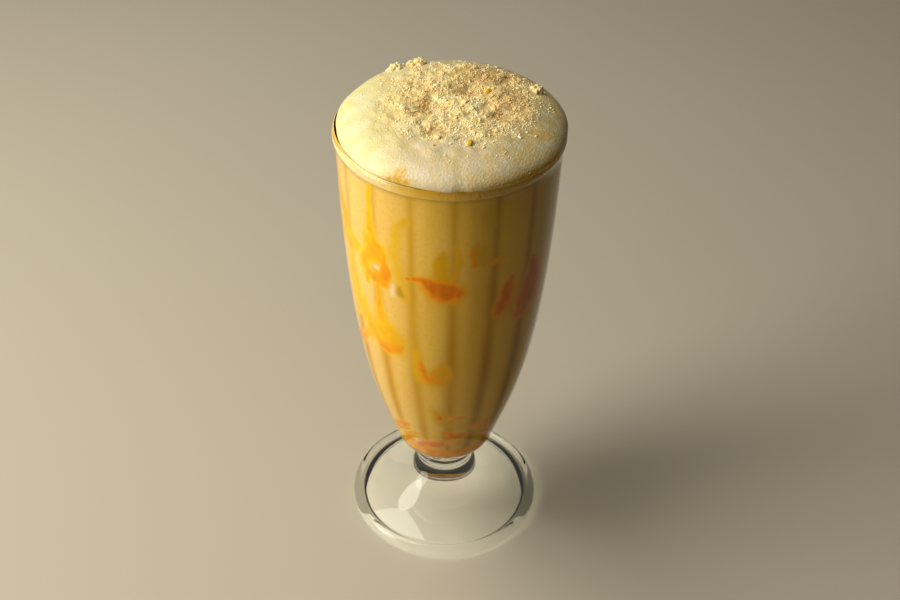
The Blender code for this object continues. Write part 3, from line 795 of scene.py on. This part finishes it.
def tone_at(x, y, draw):
    """How brown a crumb is: by where it lies, darker in the hollows as painted shade, and by chance."""
    tone = TONE + TONE_SWAY * noise.noise(Vector((x, y, 7.0 * MM)) / (5.0 * MM))
    tone += TONE_IN_DIP * min(hollow_shade(x, y), 1.0)
    for (cx, cy), reach, aim in TONES:
        share = math.exp(-((x / MM - cx) ** 2 + (y / MM - cy) ** 2) / reach**2)
        tone += (aim - tone) * TONE_PULL * share
    return min(max((tone + draw.gauss(0.0, TONE_CHANCE)) * strewn(x, y), 0.0), 1.0)


def lump(place, radius, draw, lift):
    """A lump at a place on the froth, its points drawn one by one so that it is uneven."""
    corners, sides = ball_shape
    stretch = Vector([draw.uniform(0.75, 1.3) for _ in range(3)])
    turn = Vector([draw.uniform(-1.0, 1.0) for _ in range(3)]).to_track_quat("Z", "Y")
    centre = Vector((*place, surface_z(*place) + lift * radius))
    lump_spots.append((centre, radius * min(stretch)))
    body = [centre + turn @ (radius * corner * stretch) * draw.uniform(0.85, 1.15) for corner in corners]
    return body, sides


def top_of(x, y):
    """The height of the froth, or of a lump on it."""
    height = surface_z(x, y)
    for centre, radius in lump_spots:
        gap2 = (x - centre.x) ** 2 + (y - centre.y) ** 2
        if gap2 < radius**2:
            height = max(height, centre.z + math.sqrt(radius**2 - gap2))
    return height


def lumps():
    """The lumps as (points, faces, tone): some spread in a spiral, some in heaps."""
    draw, shade = random.Random(11), random.Random(5)
    (cx, cy), (half_x, half_y) = SOWN
    for i in range(LUMPS):
        reach = math.sqrt((i + 0.5) / LUMPS)
        x = cx + half_x * reach * math.cos(GOLDEN_ANGLE * i) + draw.uniform(-LUMP_SHIFT, LUMP_SHIFT)
        y = cy + half_y * reach * math.sin(GOLDEN_ANGLE * i) + draw.uniform(-LUMP_SHIFT, LUMP_SHIFT)
        body, sides = lump((x, y), LUMP_R * draw.uniform(0.7, 1.35), draw, LUMP_LIFT)
        yield body, sides, tone_at(x, y, shade)
    for (cx, cy), count, radius in HEAPS:
        for i in range(count):
            x = cx + radius * HEAP_SPREAD * math.sqrt(i) * math.cos(GOLDEN_ANGLE * i)
            y = cy + radius * HEAP_SPREAD * math.sqrt(i) * math.sin(GOLDEN_ANGLE * i)
            lift = HEAP_LIFT - HEAP_FALL * i
            body, sides = lump((x, y), radius * draw.uniform(0.75, 1.15), draw, lift)
            yield body, sides, HEAP_TONE[0] + HEAP_TONE[1] * shade.random()


def sprinkled(count, low, high, spread, seed):
    """Small crumbs as (points, faces, tone), their radii between low and high, most of them small."""
    draw = random.Random(seed)
    while count:
        x, y = (draw.uniform(-CRUMBS_END_R, CRUMBS_END_R) for _ in range(2))
        clustered = 0.5 + CLUSTER * noise.noise(Vector((x, y, seed * MM)) / CLUSTER_SIZE)
        if math.hypot(x, y) > CRUMBS_END_R or draw.random() > strewn(x, y) * clustered + spread:
            continue
        count -= 1
        radius = low + (high - low) * draw.random() ** 2.0
        corners, sides = draw.choice(crumb_shapes)
        turn = Euler([draw.uniform(0.0, 2.0 * math.pi) for _ in range(3)]).to_matrix()
        stretch = radius * Vector([draw.uniform(0.7, 1.3) for _ in range(3)])
        centre = Vector((x, y, top_of(x, y) + draw.uniform(-CRUMB_SUNK, 0.0) * radius))
        yield [centre + turn @ (corner * stretch) for corner in corners], sides, tone_at(x, y, draw)


ball_shape = ball(1)
lump_spots = []
crumb_draw = random.Random(3)
crumb_shapes = [grain_shape(crumb_draw) for _ in range(CRUMB_SHAPES)]
crumb_lumps = joined("crumb_lumps", lumps())
bpy.ops.object.select_all(action="DESELECT")
crumb_lumps.select_set(True)
bpy.context.view_layer.objects.active = crumb_lumps
bpy.ops.object.mode_set(mode="EDIT")
bpy.ops.mesh.select_all(action="SELECT")
bpy.ops.mesh.subdivide(number_cuts=3, smoothness=1.0)
bpy.ops.object.mode_set(mode="OBJECT")
for point in crumb_lumps.data.vertices:
    rough = noise.noise(point.co / (1.1 * MM)) + 0.7 * noise.noise(point.co / (0.5 * MM))
    point.co += ROUGH * rough * point.normal
coarse_crumbs = joined("coarse_crumbs", sprinkled(*COARSE, 0.0, 21))
fine_crumbs = joined("fine_crumbs", sprinkled(*FINE, FINE_SPREAD, 22))

rusk = Finish("biscuit crumb", Specular_IOR_Level=0.3)
baked = rusk.layer("tone") + (rusk.grain(0.8 * MM, 3.0) - 0.5) * 0.5
crust = (0.0, (255, 247, 210)), (0.35, (255, 234, 164)), (0.65, (254, 218, 150)), (1.0, (196, 158, 100))
tint = rusk.add("ValToRGB", {"Fac": baked}, stops=[(at, colour(tone)[:3]) for at, tone in crust])
rusk.feed(
    Base_Color=tint,
    Roughness=rusk.grain(0.5 * MM) * 0.3 + 0.55,
    Normal=rusk.bump(rusk.grain(0.25 * MM, 2.0), 0.1 * MM),
)
for piece in (crumb_lumps, coarse_crumbs, fine_crumbs):
    piece.data.shade_smooth()
    rusk.wear(piece)
    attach(piece, "root")


# The bubbles: thin films of milk round air, fine on the froth's flanks and larger in its hollows
# and by the rim. Only their tops stand out of the froth.

BUBBLES = 260  # on the flanks, before most of those among the crumbs are left out
FLANK = 0.42  # how far in from the edge they lie, as a share of the froth's reach
BUBBLE_R, SPOT_R = (0.10, 0.16), (0.18, 0.30)  # their least radius in mm, and how much is added
BUBBLE_SUNK = 0.7  # how far a bubble's middle lies under the froth, as a share of its radius
BUBBLE_SPOTS = (  # where larger bubbles sit together: place, reach, how many
    ((15.0, -6.0), 3.5, 16), ((5.0, 10.5), 3.5, 12), ((-7.0, -16.0), 3.5, 14), ((18.8, -21.7), 2.0, 7),
    ((19.9, -27.9), 1.8, 5), ((12.5, 10.5), 1.8, 6),
)


def bubbles():
    """The bubbles as (points, faces, tone)."""
    draw = random.Random(31)
    corners, sides = ball(2)
    places = []
    for _ in range(BUBBLES):
        share, turn = 1.0 - FLANK * draw.random() ** 1.4, draw.uniform(-math.pi, math.pi)
        if share < 0.995 and draw.random() > 0.8 * strewn(*on_dome(share, turn)[:2]):
            places.append((share, turn, MM * (BUBBLE_R[0] + BUBBLE_R[1] * draw.random() ** 2.0)))
    for (x, y), reach, count in BUBBLE_SPOTS:
        for _ in range(count):
            x_at, y_at = ((middle + draw.gauss(0.0, 0.5) * reach) * MM for middle in (x, y))
            turn = math.atan2(x_at, -y_at)
            share = math.hypot(x_at, y_at) / edge_radius(turn)
            places.append((min(share, 0.99), turn, MM * (SPOT_R[0] + SPOT_R[1] * draw.random() ** 2.0)))
    for share, turn, radius in places:
        centre = Vector(on_dome(share, turn)) - Vector((0.0, 0.0, BUBBLE_SUNK * radius))
        yield [centre + radius * corner for corner in corners], sides, draw.random()


froth_bubbles = joined("froth_bubbles", bubbles())
froth_bubbles.data.shade_smooth()
film = Finish("bubble film", Coat_Weight=0.8, Coat_Roughness=0.04)
film.feed(
    Base_Color=film.mix(film.layer("tone"), (255, 244, 210), (250, 230, 172)),
    Roughness=film.layer("tone") * 0.15 + 0.1,
)
film.wear(froth_bubbles)
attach(froth_bubbles, "root")


# The mango bits: soft shreds of ripe fruit that came up with the froth. They lie on it among the
# crumbs, wet and shining.

BITS = (  # place on the froth, half length, and turn in degrees
    ((6.7, -22.6), 1.5, 70.0), ((13.2, 9.9), 1.5, 40.0), ((-8.0, 1.5), 0.7, 10.0),
    ((16.3, -4.2), 0.7, 120.0), ((-5.1, -24.2), 0.6, 20.0), ((10.5, 9.0), 0.7, 130.0),
)
BIT_SHAPE = Vector((1.0, 0.6, 0.5))  # half its length, width and height, for one of half length 1
BIT_LEAN = 0.3  # the most that one leans, in radians
bodies = []
bit_draw = random.Random(41)
for (x, y), half, degrees in BITS:
    corners, sides = ball(3)
    lean = [bit_draw.uniform(-BIT_LEAN, BIT_LEAN) for _ in range(2)]
    turn = Euler((*lean, math.radians(degrees))).to_matrix()
    centre = Vector((x * MM, y * MM, surface_z(x * MM, y * MM) + 0.15 * half * MM))
    uneven = [corner * (1.0 + 0.35 * noise.noise(corner * 1.4 + centre / MM)) for corner in corners]
    stretch = half * MM * BIT_SHAPE
    bodies.append(([centre + turn @ (corner * stretch) for corner in uneven], sides, bit_draw.random()))
mango_bits = joined("mango_bits", bodies)
mango_bits.data.shade_smooth()
flesh = Finish(
    "ripe mango",
    Subsurface_Weight=0.3,
    Subsurface_Radius=(1.0, 0.5, 0.1),
    Subsurface_Scale=0.6 * MM,
)
flesh.feed(
    Base_Color=flesh.mix(flesh.grain(0.8 * MM, 3.0), (255, 214, 70), (250, 188, 24)),
    Roughness=flesh.grain(0.6 * MM) * 0.2 + 0.12,
    Normal=flesh.bump(flesh.grain(0.5 * MM, 3.0), 0.15 * MM),
)
flesh.wear(mango_bits)
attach(mango_bits, "root")


# The floor, the lights and the camera. The floor is plain and pale, three soft lamps stand at the
# left and over the glass, and the camera looks down on it from the front.

bpy.ops.mesh.primitive_plane_add(size=6.0, location=(0.0, 0.0, 0.0))
floor = bpy.context.active_object
floor.name = "floor"
paper = Finish("pale floor", Roughness=0.7)
paper.feed(Base_Color=paper.mix(paper.grain(0.3), (198, 188, 168), (204, 194, 174)))
paper.wear(floor)


def lamp(name, place, aim, size, watts, tint):
    """A round soft lamp at a place, turned to its aim. It isn't seen through the glass."""
    made = bpy.data.lights.new(name, "AREA")
    made.shape, made.size, made.energy, made.color = "DISK", size, watts, tint
    holder = bpy.data.objects.new(name, made)
    bpy.context.scene.collection.objects.link(holder)
    holder.location = place
    holder.visible_transmission = False
    holder.rotation_euler = (Vector(aim) - Vector(place)).to_track_quat("-Z", "Y").to_euler()


lamp("key", (-0.80, -0.18, 0.62), (0.0, 0.0, 0.12), 0.50, 4.2, (1.0, 0.97, 0.86))
lamp("low key", (-0.86, -0.38, 0.36), (0.0, 0.0, 0.12), 0.50, 3.0, (1.0, 0.96, 0.84))
lamp("top", (-0.45, 0.10, 0.95), (0.0, 0.0, 0.17), 0.70, 5.8, (1.0, 0.97, 0.88))
world = bpy.data.worlds.new("soft studio")
bpy.context.scene.world = world
world.use_nodes = True
world.node_tree.nodes["Background"].inputs["Color"].default_value = (1.0, 0.94, 0.84, 1.0)
world.node_tree.nodes["Background"].inputs["Strength"].default_value = 0.03
bpy.context.scene.view_settings.view_transform = "Standard"

camera = bpy.data.objects.new("camera", bpy.data.cameras.new("camera"))
bpy.context.scene.collection.objects.link(camera)
camera.data.lens, camera.data.sensor_width = 56.0, 36.0
CAMERA_AT = 0.0, -0.4137, 0.4462
yaw, pitch, roll = 0.0028, 0.6876, -0.0178  # in radians: to the right, down, and tilted
ahead = Vector((math.sin(yaw) * math.cos(pitch), math.cos(yaw) * math.cos(pitch), -math.sin(pitch)))
right = Vector((math.cos(yaw), -math.sin(yaw), 0.0))
down = ahead.cross(right)
tilted_right = math.cos(roll) * right + math.sin(roll) * down
tilted_up = math.sin(roll) * right - math.cos(roll) * down
turn = Matrix((tilted_right, tilted_up, -ahead)).transposed()
camera.matrix_world = Matrix.Translation(CAMERA_AT) @ turn.to_4x4()
bpy.context.scene.camera = camera
